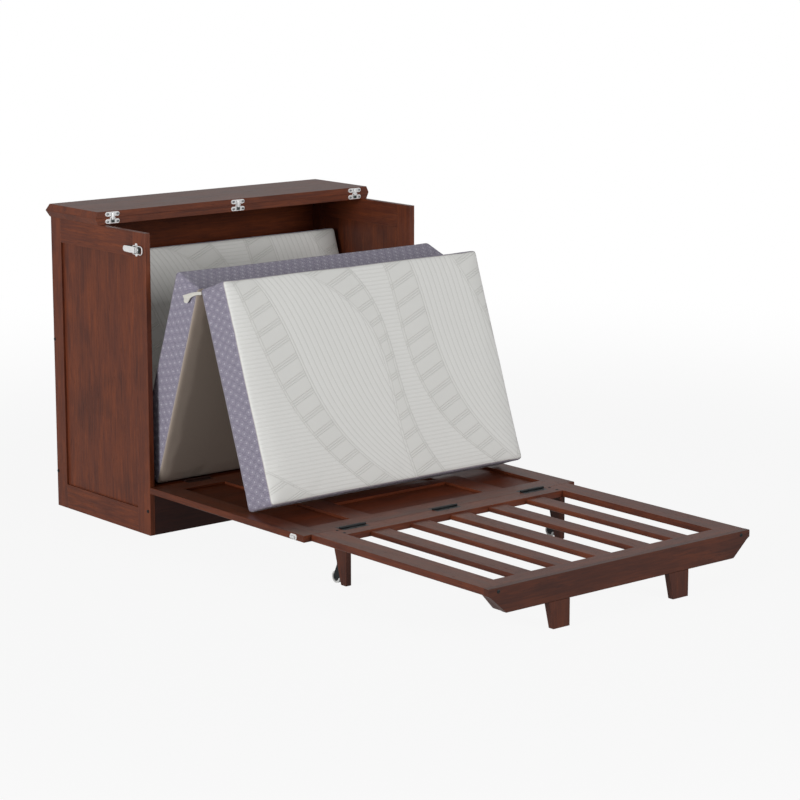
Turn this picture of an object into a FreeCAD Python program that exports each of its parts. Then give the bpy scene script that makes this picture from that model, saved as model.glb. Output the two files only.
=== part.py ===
"""Cabinet bed: a chest whose front drops down as a bed platform, with a slatted foot section
that folds out beyond it on its own legs, a flip-over half top and a mattress in three sections.

Millimetres, +Z up, X across the bed, the cabinet's back towards +Y and the foot of the bed
towards -Y. The work below is laid out with Y = 0 on the cabinet's front and X = 0 on its
middle; save() moves every piece so that the origin is the middle of the footprint.
"""
import FreeCAD, Part
import math
import os
from FreeCAD import Vector

os.makedirs("parts", exist_ok=True)

# ---- driving dimensions -------------------------------------------------------------------

# cabinet
WIDTH = 1066.8            # over the two sides, and over the drop-down front
DEPTH = 530.0             # of a side, front edge to back edge
HEIGHT = 943.0            # of a side
SIDE = 19.0               # thickness of a side's frame
FRONT_STILE = 66.0
REAR_STILE = 57.0
TOP_RAIL = 77.0
BOTTOM_RAIL = 78.0
FIELD = 6.0               # thickness of every framed panel
FIELD_RECESS = 7.0        # how far a side's panel lies behind its frame
GROOVE = 8.0              # how far a panel runs into the frame
TENON = 24.0
TENON_THICK = 8.0
BOARD = 20.0              # thickness of the tops, deck, door and slatted frame
DECK_TOP = 153.0          # height of the lying surface
BACK_FACE = 521.0         # front of the back panel

# top
TOP_SPLIT = 253.0         # line where the top divides into a fixed and a flip-over half
TOP_HALF = 288.0          # depth of each half
TOP_OVERHANG = 11.0       # of the top beyond the sides
TOP_BEVEL = 9.5           # its edges slope in by this much underneath

# drop-down front
DOOR = 775.0              # length from its hinges to the seam with the foot section
DOOR_STILE = 74.0
DOOR_RAIL = 76.0
MULLION = 81.0
SIDE_FIELD = 157.0        # width of the narrow fields left and right
CROSS_RAIL = 45.0
DOOR_RECESS = 8.0         # depth of the fields below the door's inner face

# foot section
FOOT = 764.0
FOOT_INSET = 28.5         # it is narrower than the door by this much each side
FOOT_SIDE_RAIL = 80.0
FOOT_REAR_RAIL = 62.0
FOOT_FRONT_RAIL = 51.0
SLAT = 64.0
SLAT_COUNT = 5
SLAT_DROP = 5.0           # slats' tops below the rails' tops
SLAT_THICK = 15.0
FASCIA = 19.0
FASCIA_BOTTOM = 78.0      # height of its lower edge above the floor
FASCIA_SLOPE = 65.5       # where its sloped end stops

# legs
FRONT_LEGS = (248.0 - WIDTH / 2, 710.0 - WIDTH / 2)
FRONT_LEG_TOP = 78.0
FRONT_LEG_BOTTOM = 60.0
CASTER_LEG_X = 102.0      # outer face, in from the door's side
CASTER_LEG_THICK = 20.0
CASTER_LEG_TOP = 63.0
CASTER_LEG_BOTTOM = 23.0
CASTER_LEG_Y = 67.0       # its straight front edge, past the seam
WHEEL_RADIUS = 18.0
WHEEL_WIDTH = 14.0

# hinges
LEAF = 2.0
PIN_RADIUS = 1.6
KNUCKLE_RADIUS = 3.0
PIN_GAP = 0.05            # running clearance round a pin
HINGE_LENGTH = 96.0
SEAM_HINGES = (180.0 - WIDTH / 2, 0.0, WIDTH / 2 - 180.0)
LID_HINGES = (50.7 - WIDTH / 2, 0.0, WIDTH / 2 - 50.7)

# mattress
MATTRESS_WIDTH = 990.6
SECTION = 677.0           # a third of its length
THICK = 134.5
HEAD_LEAN = 0.36          # radians from upright
MIDDLE_LEAN = 0.35
FOOT_LEAN = 0.345
FOOT_HEEL_Y = -449.0      # where the foot section's lower rear edge stands on the door
MATTRESS_LEFT = 44.0 - WIDTH / 2
CROWN = 7.0
PULL_IN = 4.0             # the border is drawn in between its two edges
EDGE_ROUND = 14.0

# the origin is the middle of the footprint on the floor
FRONT_END = -(DOOR + FOOT) - 1.5
BACK_END = TOP_SPLIT + TOP_HALF
ORIGIN_Y = (FRONT_END + BACK_END) / 2

HALF = WIDTH / 2
INNER = HALF - SIDE
DECK_UNDER = DECK_TOP - BOARD


# ---- helpers ------------------------------------------------------------------------------

def box(x0, x1, y0, y1, z0, z1):
    return Part.makeBox(x1 - x0, y1 - y0, z1 - z0, Vector(x0, y0, z0))


def prism_x(outline, x0, x1):
    """Outline of (y, z) points, carried from x0 to x1."""
    wire = Part.makePolygon([Vector(x0, y, z) for y, z in outline + outline[:1]])
    return Part.Face(wire).extrude(Vector(x1 - x0, 0, 0))


def prism_y(outline, y0, y1):
    """Outline of (x, z) points, carried from y0 to y1."""
    wire = Part.makePolygon([Vector(x, y0, z) for x, z in outline + outline[:1]])
    return Part.Face(wire).extrude(Vector(0, y1 - y0, 0))


def rod_x(x0, x1, y, z, radius):
    return Part.makeCylinder(radius, x1 - x0, Vector(x0, y, z), Vector(1, 0, 0))


def rod_z(x, y, z0, z1, radius):
    return Part.makeCylinder(radius, z1 - z0, Vector(x, y, z0), Vector(0, 0, 1))


def mirrored(shape):
    return shape.mirror(Vector(0, 0, 0), Vector(1, 0, 0))


def eased(shape, size, direction, where=lambda centre: True):
    """Bevels the straight edges that run along a direction, where their middle passes a test."""
    picked = []
    for edge in shape.Edges:
        along = (edge.Vertexes[-1].Point - edge.Vertexes[0].Point)
        if along.Length > 1 and along.cross(direction).Length < 1e-6 * along.Length:
            if where(edge.CenterOfMass):
                picked.append(edge)
    return shape.makeChamfer(size, picked)


def save(name, *solids):
    placed = []
    for solid in solids:
        moved = solid.copy()
        moved.translate(Vector(0, -ORIGIN_Y, 0))
        placed += moved.Solids
    shape = placed[0] if len(placed) == 1 else Part.makeCompound(placed)
    assert all(s.isValid() and s.Volume > 0 for s in placed), name
    shape.exportStep("parts/" + name + ".step")
    return solids


ALONG_X = Vector(1, 0, 0)
ALONG_Y = Vector(0, 1, 0)
ALONG_Z = Vector(0, 0, 1)


# ---- cabinet sides: frame and recessed panel ----------------------------------------------

def cabinet_side():
    """The left side: two stiles, two rails tenoned into them, and the panel in their grooves."""
    x0 = -HALF
    x1 = -HALF + SIDE
    panel_x = x0 + FIELD_RECESS
    panel = box(panel_x, panel_x + FIELD, FRONT_STILE - GROOVE, DEPTH - REAR_STILE + GROOVE,
                BOTTOM_RAIL - GROOVE, HEIGHT - TOP_RAIL + GROOVE)
    tenon_x = x0 + (SIDE - TENON_THICK) / 2
    rails = []
    for z0, z1 in ((0, BOTTOM_RAIL), (HEIGHT - TOP_RAIL, HEIGHT)):
        rail = box(x0, x1, FRONT_STILE, DEPTH - REAR_STILE, z0, z1)
        tenon = box(tenon_x, tenon_x + TENON_THICK, FRONT_STILE - TENON,
                    DEPTH - REAR_STILE + TENON, z0 + 12, z1 - 12)
        rails.append(rail.fuse(tenon).removeSplitter().cut(panel))
    front = box(x0, x1, 0, FRONT_STILE, 0, HEIGHT)
    rear = box(x0, x1, DEPTH - REAR_STILE, DEPTH, 0, HEIGHT)
    front = eased(front, 1.5, ALONG_Z, lambda c: c.y < 1)
    rear = eased(rear, 1.5, ALONG_Z, lambda c: c.y > DEPTH - 1 and c.x < x0 + 1)
    # the back panel stands in a rebate behind the rear stile
    rear = rear.cut(box(x1 - 8, x1, BACK_FACE, DEPTH, -1, HEIGHT + 1))
    stiles = []
    for stile in (front, rear):
        stiles.append(stile.cut(panel).cut(rails[0]).cut(rails[1]))
    return stiles, rails, panel


stiles, rails, panel = cabinet_side()
save("left_side_stiles", *stiles)
save("left_side_rails", *rails)
save("left_side_panel", panel)
save("right_side_stiles", *[mirrored(s) for s in stiles])
save("right_side_rails", *[mirrored(r) for r in rails])
save("right_side_panel", mirrored(panel))

# ---- cabinet inside: back, deck on its cleats, kick board ---------------------------------

REBATE = INNER + 8
save("back_panel", box(-REBATE, REBATE, BACK_FACE, BACK_FACE + FIELD, 30, HEIGHT))
save("kick_board", box(-INNER, INNER, 0, SIDE, 0, DECK_UNDER))
CLEAT = 38.0
save("deck_cleats",
     box(-INNER, -INNER + SIDE, SIDE, BACK_FACE - SIDE, DECK_UNDER - CLEAT, DECK_UNDER),
     box(INNER - SIDE, INNER, SIDE, BACK_FACE - SIDE, DECK_UNDER - CLEAT, DECK_UNDER),
     box(-INNER, INNER, BACK_FACE - SIDE, BACK_FACE, DECK_UNDER - CLEAT, DECK_UNDER))

# black connector bolts: heads on the outside of the sides, shanks through to the deck frame
BOLT_HEAD = 5.0
BOLT_PROUD = 1.5


def hexagon(radius):
    corners = []
    for n in range(6):
        turn = math.radians(60 * n)
        corners.append((radius * math.cos(turn), radius * math.sin(turn)))
    return corners


bolts = []
for y, z in ((523.0, 548.0), (523.0, 114.6), (12.0, 76.0)):
    head = prism_x([(y + a, z + b) for a, b in hexagon(BOLT_HEAD)], -HALF - BOLT_PROUD, -HALF)
    bolts += [head, mirrored(head)]
save("cabinet_bolts", *bolts)

# ---- top: a fixed rear half, and a front half that flips over onto it ---------------------

def top_half(y_split, y_far, z_wide, z_narrow):
    """A board whose two ends and far edge slope in from its wide face to its narrow face."""
    wide = HALF + TOP_OVERHANG
    narrow = wide - TOP_BEVEL
    inward = TOP_BEVEL if y_far < y_split else -TOP_BEVEL
    faces = []
    for z, half, y in ((z_wide, wide, y_far), (z_narrow, narrow, y_far + inward)):
        faces.append(Part.makePolygon([Vector(-half, y_split, z), Vector(half, y_split, z),
                                       Vector(half, y, z), Vector(-half, y, z),
                                       Vector(-half, y_split, z)]))
    return Part.makeLoft(faces, True, True)


SEAM_Z = HEIGHT + BOARD
rear_top = top_half(TOP_SPLIT, TOP_SPLIT + TOP_HALF, SEAM_Z, HEIGHT)
lid = top_half(TOP_SPLIT, TOP_SPLIT + TOP_HALF, SEAM_Z, SEAM_Z + BOARD)
# the lid rests 0.4 clear of the half below it
LID_GAP = 0.4
lid.translate(Vector(0, 0, LID_GAP))

# counter-flap hinges on the two front edges: a plate on each, and a tongue between them that
# turns on a pin at the seam
LID_PIN_Y = TOP_SPLIT - 2.6
LID_PIN_Z = SEAM_Z + LID_GAP / 2
PLATE_LENGTH = 52.0
PLATE_HEIGHT = 14.0
TONGUE = 11.0
LUG = 3.0
LID_KNUCKLE = 2.4


def obround_plate(x, z, y0, y1):
    """A plate with round ends, standing in the XZ plane."""
    r = PLATE_HEIGHT / 2
    run = PLATE_LENGTH / 2 - r
    body = box(x - run, x + run, y0, y1, z - r, z + r)
    for end in (-run, run):
        body = body.fuse(Part.makeCylinder(r, y1 - y0, Vector(x + end, y0, z), ALONG_Y))
    return body.removeSplitter()


fixed_leaves, moving_leaves, lid_pins = [], [], []
for x in LID_HINGES:
    plate_y = TOP_SPLIT - LEAF
    low = obround_plate(x, HEIGHT + BOARD / 2 - 1.0, plate_y, TOP_SPLIT)
    high = obround_plate(x, SEAM_Z + LID_GAP + BOARD / 2 + 1.0, plate_y, TOP_SPLIT)
    bore = rod_x(x - 6, x + 6, LID_PIN_Y, LID_PIN_Z, PIN_RADIUS / 2 + PIN_GAP)
    for side in (-1, 1):
        lug_x = x + side * (TONGUE / 2 + 0.3 + LUG / 2)
        lug = box(lug_x - LUG / 2, lug_x + LUG / 2, plate_y, TOP_SPLIT - 0.2,
                  HEIGHT + BOARD / 2, LID_PIN_Z)
        knuckle = rod_x(lug_x - LUG / 2, lug_x + LUG / 2, LID_PIN_Y, LID_PIN_Z, LID_KNUCKLE)
        low = low.fuse(lug).fuse(knuckle)
    tongue = box(x - TONGUE / 2, x + TONGUE / 2, plate_y, TOP_SPLIT - 0.2, LID_PIN_Z,
                 SEAM_Z + BOARD / 2)
    knuckle = rod_x(x - TONGUE / 2, x + TONGUE / 2, LID_PIN_Y, LID_PIN_Z, LID_KNUCKLE)
    high = high.fuse(tongue).fuse(knuckle).removeSplitter().cut(bore)
    fixed_leaves.append(low.removeSplitter())
    moving_leaves.append(high)
    lid_pins.append(rod_x(x - TONGUE / 2 - 0.3, x + TONGUE / 2 + 0.3, LID_PIN_Y, LID_PIN_Z,
                          PIN_RADIUS / 2))
save("rear_top_panel", rear_top)
save("lid_panel", lid)
save("lid_hinge_fixed_plates", *fixed_leaves)
save("lid_hinge_moving_plates", *moving_leaves)
save("lid_hinge_pins", *lid_pins)

# ---- butt hinges with their knuckles on top -----------------------------------------------

def butt_hinge(x, y, z, leaf_width):
    """A three-knuckle hinge about the line (y, z). Its leaves lie let in on the two boards.

    Gives the leaf towards +Y, which has the two outer knuckles, the leaf towards -Y with the
    middle one, and the pin between.
    """
    start = x - HINGE_LENGTH / 2
    step = HINGE_LENGTH / 3
    leaves = []
    for side, own in ((1, (0, 2)), (-1, (1,))):
        edge = y + side * (KNUCKLE_RADIUS + 0.6)
        inner, outer = sorted((edge, y + side * leaf_width))
        leaf = box(start, start + HINGE_LENGTH, inner, outer, DECK_TOP - LEAF, DECK_TOP)
        for n in own:
            a = start + n * step + 0.2
            b = a + step - 0.4
            inner, outer = sorted((y, edge))
            leaf = leaf.fuse(box(a, b, inner, outer, DECK_TOP - LEAF, DECK_TOP))
            near, far = sorted((y, y + side * 2.4))
            leaf = leaf.fuse(box(a, b, near, far, DECK_TOP - LEAF, z))
            leaf = leaf.fuse(rod_x(a, b, y, z, KNUCKLE_RADIUS))
        leaves.append(leaf.removeSplitter())
    bore = rod_x(start + step, start + 2 * step, y, z, PIN_RADIUS + PIN_GAP)
    pin = rod_x(start + step - 0.2, start + 2 * step + 0.2, y, z, PIN_RADIUS)
    return leaves[0], leaves[1].cut(bore), pin


def hinge_pocket(x, y, leaf_width, side):
    """What is let into a board for one leaf, and for the knuckles at its edge."""
    start = x - HINGE_LENGTH / 2
    inner, outer = sorted((y, y + side * leaf_width))
    pocket = box(start, start + HINGE_LENGTH, inner, outer, DECK_TOP - LEAF, DECK_TOP + 1)
    inner, outer = sorted((y, y + side * (KNUCKLE_RADIUS + 0.6)))
    knuckles = box(start - 0.3, start + HINGE_LENGTH + 0.3, inner, outer, DECK_TOP - LEAF - 0.5,
                   DECK_TOP + 1)
    return pocket.fuse(knuckles).removeSplitter()


EDGE_GAP = 1.0
PIN_Z = DECK_TOP + 2.6
DOOR_PIN_Y = -EDGE_GAP / 2
SEAM_PIN_Y = -DOOR - EDGE_GAP / 2
LEAF_WIDTH = 22.0

# ---- drop-down front: stiles, rails, mullions and fields, as three columns ----------------

door_y0 = -DOOR
door_y1 = -EDGE_GAP
field_z1 = DECK_TOP - DOOR_RECESS
field_z0 = field_z1 - FIELD
tenon_z0 = DECK_UNDER + (BOARD - TENON_THICK) / 2
tenon_z1 = tenon_z0 + TENON_THICK
inner_y0 = door_y0 + DOOR_RAIL
inner_y1 = door_y1 - DOOR_RAIL
stile_x = HALF - DOOR_STILE
mullion_outer = stile_x - SIDE_FIELD
mullion_inner = mullion_outer - MULLION

side_field = box(-stile_x - GROOVE, -mullion_outer + GROOVE, inner_y0 - GROOVE,
                 inner_y1 + GROOVE, field_z0, field_z1)
side_fields = [side_field, mirrored(side_field)]

# the middle column has two cross rails and three fields
row = (inner_y1 - inner_y0 - 2 * CROSS_RAIL) / 3
cross_rails, middle_fields = [], []
for n in range(3):
    y0 = inner_y0 + n * (row + CROSS_RAIL)
    middle_fields.append(box(-mullion_inner - GROOVE, mullion_inner + GROOVE, y0 - GROOVE,
                             y0 + row + GROOVE, field_z0, field_z1))
for n in range(2):
    y0 = inner_y0 + (n + 1) * row + n * CROSS_RAIL
    rail = box(-mullion_inner, mullion_inner, y0, y0 + CROSS_RAIL, DECK_UNDER, DECK_TOP)
    tenon = box(-mullion_inner - TENON, mullion_inner + TENON, y0 + 10, y0 + CROSS_RAIL - 10,
                tenon_z0, tenon_z1)
    cross_rails.append(rail.fuse(tenon).removeSplitter())

mullion = box(-mullion_outer, -mullion_inner, inner_y0, inner_y1, DECK_UNDER, DECK_TOP)
tenon = box(-mullion_outer + 15, -mullion_inner - 15, inner_y0 - TENON, inner_y1 + TENON,
            tenon_z0, tenon_z1)
mullion = mullion.fuse(tenon).removeSplitter()
mullions = [mullion, mirrored(mullion)]

door_rails = []
for y0, y1 in ((door_y0, inner_y0), (inner_y1, door_y1)):
    rail = box(-stile_x, stile_x, y0, y1, DECK_UNDER, DECK_TOP)
    tenon = box(-stile_x - TENON, stile_x + TENON, y0 + 15, y1 - 15, tenon_z0, tenon_z1)
    door_rails.append(rail.fuse(tenon).removeSplitter())
door_stile = box(-HALF, -stile_x, door_y0, door_y1, DECK_UNDER, DECK_TOP)
door_stile = eased(door_stile, 2.0, ALONG_Y, lambda c: c.x < -HALF + 1)
door_stiles = [door_stile, mirrored(door_stile)]

fields = side_fields + middle_fields


def seated(pieces, guests):
    """Each piece with the grooves and mortises that its guests need."""
    out = []
    for piece in pieces:
        for guest in guests:
            piece = piece.cut(guest)
        out.append(piece)
    return out


cross_rails = seated(cross_rails, middle_fields)
mullions = seated(mullions, fields + cross_rails)
door_rails = seated(door_rails, fields + mullions)
door_stiles = seated(door_stiles, side_fields + door_rails)

deck_leaves, door_leaves, door_pins = [], [], []
seam_door_leaves, seam_foot_leaves, seam_pins = [], [], []
for x in SEAM_HINGES:
    a, b, pin = butt_hinge(x, DOOR_PIN_Y, PIN_Z, LEAF_WIDTH)
    deck_leaves.append(a)
    door_leaves.append(b)
    door_pins.append(pin)
    a, b, pin = butt_hinge(x, SEAM_PIN_Y, PIN_Z, LEAF_WIDTH)
    seam_door_leaves.append(a)
    seam_foot_leaves.append(b)
    seam_pins.append(pin)
pockets = [hinge_pocket(x, DOOR_PIN_Y, LEAF_WIDTH, -1) for x in SEAM_HINGES]
pockets += [hinge_pocket(x, SEAM_PIN_Y, LEAF_WIDTH, 1) for x in SEAM_HINGES]
door_rails = seated(door_rails, pockets)
deck = box(-INNER, INNER, 0, BACK_FACE, DECK_UNDER, DECK_TOP)
deck = seated([deck], [hinge_pocket(x, DOOR_PIN_Y, LEAF_WIDTH, 1) for x in SEAM_HINGES])[0]
save("deck_panel", deck)
save("door_hinge_fixed_leaves", *deck_leaves)
save("door_hinge_moving_leaves", *door_leaves)
save("door_hinge_pins", *door_pins)
save("seam_hinge_door_leaves", *seam_door_leaves)
save("seam_hinge_foot_leaves", *seam_foot_leaves)
save("seam_hinge_pins", *seam_pins)
save("door_stiles", *door_stiles)
save("door_rails", *door_rails)
save("door_mullions", *mullions)
save("door_cross_rails", *cross_rails)
save("door_side_fields", *side_fields)
save("door_middle_fields", *middle_fields)

# ---- catches on the door's edges, which the side latches hook onto ------------------------

CATCH_Y = -729.0
CATCH_LENGTH = 30.0
CATCH_HEIGHT = 16.0
catch_plate = box(-HALF - 1.5, -HALF, CATCH_Y - CATCH_LENGTH / 2, CATCH_Y + CATCH_LENGTH / 2,
                  DECK_UNDER + 2, DECK_UNDER + 2 + CATCH_HEIGHT)
catch_plate = eased(catch_plate, 4.0, ALONG_X)
hook = prism_y([(-HALF - 1.5, DECK_UNDER + 3), (-HALF - 1.5, DECK_UNDER + 7),
                (-HALF - 5.0, DECK_UNDER + 9), (-HALF - 5.0, DECK_UNDER + 13),
                (-HALF - 7.0, DECK_UNDER + 13), (-HALF - 7.0, DECK_UNDER + 7)],
               CATCH_Y - 10, CATCH_Y + 10)
catch = catch_plate.fuse(hook).removeSplitter()
save("left_door_catch", catch)
save("right_door_catch", mirrored(catch))

# ---- foot section: rails, slats, fascia ---------------------------------------------------

foot_x = HALF - FOOT_INSET
slot_x = foot_x - FOOT_SIDE_RAIL
foot_y1 = -DOOR - EDGE_GAP
foot_y0 = -DOOR - FOOT
rail_y0 = foot_y0 + FASCIA
rear_inner = foot_y1 - FOOT_REAR_RAIL
front_inner = rail_y0 + FOOT_FRONT_RAIL

side_rail = box(-foot_x, -slot_x, rail_y0, foot_y1, DECK_UNDER, DECK_TOP)
side_rail = eased(side_rail, 2.0, ALONG_Y, lambda c: c.x < -foot_x + 1)
rear_rail = box(-slot_x, slot_x, rear_inner, foot_y1, DECK_UNDER, DECK_TOP)
front_rail = box(-slot_x, slot_x, rail_y0, front_inner, DECK_UNDER, DECK_TOP)
frame_tenons = []
for y0, y1 in ((rear_inner + 12, foot_y1 - 12), (rail_y0 + 12, front_inner - 12)):
    frame_tenons.append(box(-slot_x - TENON, slot_x + TENON, y0, y1, tenon_z0, tenon_z1))
rear_rail = rear_rail.fuse(frame_tenons[0]).removeSplitter()
front_rail = front_rail.fuse(frame_tenons[1]).removeSplitter()

# slats lie between the rails, each end let into them
slat_gap = (2 * slot_x - SLAT_COUNT * SLAT) / (SLAT_COUNT + 1)
SLAT_TONGUE = 12.0
slat_top = DECK_TOP - SLAT_DROP
slats = []
for n in range(SLAT_COUNT):
    x0 = -slot_x + slat_gap + n * (SLAT + slat_gap)
    slat = box(x0, x0 + SLAT, front_inner, rear_inner, slat_top - SLAT_THICK, slat_top)
    slat = eased(slat, 2.0, ALONG_Y)
    tongue = box(x0 + 8, x0 + SLAT - 8, front_inner - SLAT_TONGUE, rear_inner + SLAT_TONGUE,
                 slat_top - SLAT_THICK + 4, slat_top - 4)
    slats.append(slat.fuse(tongue).removeSplitter())
    save("slat_%d" % (n + 1), slats[-1])

rear_rail = seated([rear_rail], slats + [hinge_pocket(x, SEAM_PIN_Y, LEAF_WIDTH, -1)
                                         for x in SEAM_HINGES])[0]
front_rail = seated([front_rail], slats)[0]
side_rail = seated([side_rail], [rear_rail, front_rail])[0]
save("left_foot_rail", side_rail)
save("right_foot_rail", mirrored(side_rail))
save("rear_foot_rail", rear_rail)
save("front_foot_rail", front_rail)

fascia = prism_y([(-foot_x, DECK_TOP), (-foot_x, DECK_UNDER), (-foot_x + 10, DECK_UNDER - 6),
                  (-foot_x + FASCIA_SLOPE, FASCIA_BOTTOM), (foot_x - FASCIA_SLOPE, FASCIA_BOTTOM),
                  (foot_x - 10, DECK_UNDER - 6), (foot_x, DECK_UNDER), (foot_x, DECK_TOP)],
                 foot_y0, rail_y0)
fascia = eased(fascia, 1.5, ALONG_X, lambda c: c.y < foot_y0 + 1)
# blocks in the corners behind the fascia, sloped like its ends
BLOCK = 34.0
block = prism_y([(-foot_x + 16, DECK_UNDER), (-foot_x + FASCIA_SLOPE - 2, FASCIA_BOTTOM + 2),
                 (-foot_x + FASCIA_SLOPE + 16, FASCIA_BOTTOM + 2),
                 (-foot_x + FASCIA_SLOPE + 16, DECK_UNDER)], rail_y0, rail_y0 + BLOCK)
save("fascia_blocks", block, mirrored(block))
fascia_bolts = []
for x in (-469.5, 469.5):
    fascia_bolts.append(prism_y([(x + a, 142.5 + b) for a, b in hexagon(BOLT_HEAD)],
                                foot_y0 - BOLT_PROUD, foot_y0))
save("fascia_bolts", *fascia_bolts)

# ---- legs and casters ---------------------------------------------------------------------

def front_leg(x):
    """A board flush with the fascia, straight on its right edge and tapered on its left.

    Its upper end is rebated to half thickness and housed in the fascia's back.
    """
    right = x + FRONT_LEG_TOP
    lower = prism_y([(x, FASCIA_BOTTOM), (right - FRONT_LEG_BOTTOM, 0), (right, 0),
                     (right, FASCIA_BOTTOM)], foot_y0, rail_y0)
    tongue = box(x + 6, right - 6, foot_y0 + FASCIA / 2, rail_y0, FASCIA_BOTTOM, DECK_UNDER)
    return lower.fuse(tongue).removeSplitter()


front_legs = [front_leg(x) for x in FRONT_LEGS]
save("fascia_board", seated([fascia], front_legs)[0])
save("left_front_leg", front_legs[0])
save("right_front_leg", front_legs[1])

leg_front = foot_y1 + EDGE_GAP - CASTER_LEG_Y
leg_x0 = -HALF + CASTER_LEG_X
leg_x1 = leg_x0 + CASTER_LEG_THICK
caster_leg = prism_x([(leg_front, 0), (leg_front + CASTER_LEG_BOTTOM, 0),
                      (leg_front + CASTER_LEG_TOP, DECK_UNDER), (leg_front, DECK_UNDER)],
                     leg_x0, leg_x1)
caster_leg = eased(caster_leg, 1.5, ALONG_Z, lambda c: c.y < leg_front + 1)
save("left_caster_leg", caster_leg)
save("right_caster_leg", mirrored(caster_leg))

wheel_x = (leg_x0 + leg_x1) / 2
wheel_y = leg_front + CASTER_LEG_BOTTOM + 10 + WHEEL_RADIUS
wheel_z = WHEEL_RADIUS
AXLE_RADIUS = 2.5
FORK = 2.0
fork_gap = WHEEL_WIDTH / 2 + 0.8
slope = (CASTER_LEG_TOP - CASTER_LEG_BOTTOM) / DECK_UNDER


def leg_back(z):
    return leg_front + CASTER_LEG_BOTTOM + slope * z


# a folded plate screwed to the leg's sloped back edge, with a cheek each side of the wheel
plate = prism_x([(leg_back(20), 20), (leg_back(20) + 2, 20), (leg_back(62) + 2, 62),
                 (leg_back(62), 62)], leg_x0 + 0.5, leg_x1 - 0.5)
bracket = plate
for side in (-1, 1):
    a, b = sorted((wheel_x + side * fork_gap, wheel_x + side * (fork_gap + FORK)))
    cheek = prism_x([(leg_back(20) + 0.5, 20), (wheel_y - 6, wheel_z - 6),
                     (wheel_y + 7, wheel_z - 5), (wheel_y + 7, wheel_z + 6),
                     (leg_back(60) + 0.5, 60)], a, b)
    bracket = bracket.fuse(cheek)
axle = rod_x(wheel_x - fork_gap - FORK - 1, wheel_x + fork_gap + FORK + 1, wheel_y, wheel_z,
             AXLE_RADIUS)
bracket = bracket.removeSplitter().cut(axle)
# a plain tread, sides let in between rim and hub, and the axle's bore
half_width = WHEEL_WIDTH / 2
web_half = half_width - 2.5
rim = WHEEL_RADIUS - 4.5
bore = AXLE_RADIUS + PIN_GAP
profile = [(bore, -web_half), (rim, -web_half), (rim, -half_width), (WHEEL_RADIUS, -half_width),
           (WHEEL_RADIUS, half_width), (rim, half_width), (rim, web_half), (bore, web_half)]
outline = [Vector(wheel_x + x, wheel_y, wheel_z + r) for r, x in profile]
wheel = Part.Face(Part.makePolygon(outline + outline[:1]))
wheel = wheel.revolve(Vector(wheel_x, wheel_y, wheel_z), ALONG_X, 360)
wheel = Part.Solid(wheel) if wheel.ShapeType == "Shell" else wheel.Solids[0]
save("caster_brackets", bracket, mirrored(bracket))
save("caster_axles", axle, mirrored(axle))
save("left_caster_wheel", wheel)
save("right_caster_wheel", mirrored(wheel))

# ---- toggle latches on the cabinet's sides ------------------------------------------------

LATCH_Z = 889.0
LATCH_PIN_Y = 46.0
LATCH_PIN_X = -HALF - 4.6
BAIL_PIN_Y = 57.0
BAIL_PIN_X = -HALF - 5.6
BASE_THICK = 1.5
PLATE_X = -HALF - 9.2     # outer face of the lever's plate
PLATE_THICK = 2.0
WIRE = 1.5
CHEEK = (7.2, 8.7)        # the lever's two cheeks, from and to, each side of its middle
EAR = (9.0, 10.5)         # the base's two ears
BAIL_HALF = 13.0
LEVER_END = 107.0


def both_sides(make, near, far):
    """Makes a piece between two heights above the latch's middle, and its twin below."""
    return [make(LATCH_Z + near, LATCH_Z + far), make(LATCH_Z - far, LATCH_Z - near)]


def latch_base():
    """A screwed plate with two ears for the lever's pin and a small keeper at its front."""
    base = box(-HALF - BASE_THICK, -HALF, 24, 98, LATCH_Z - EAR[1], LATCH_Z + EAR[1])
    base = eased(base, 6.0, ALONG_X)

    def ear(z0, z1):
        block = box(LATCH_PIN_X, -HALF, LATCH_PIN_Y - 3.2, LATCH_PIN_Y + 3.2, z0, z1)
        return block.fuse(rod_z(LATCH_PIN_X, LATCH_PIN_Y, z0, z1, 3.2))

    for piece in both_sides(ear, *EAR):
        base = base.fuse(piece)
    keeper = box(-HALF - 4.0, -HALF, 27, 31, LATCH_Z - 5, LATCH_Z + 5)
    base = base.fuse(keeper).removeSplitter()
    base = base.cut(rod_z(LATCH_PIN_X, LATCH_PIN_Y, LATCH_Z - 20, LATCH_Z + 20,
                          PIN_RADIUS + PIN_GAP))
    return base


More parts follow.
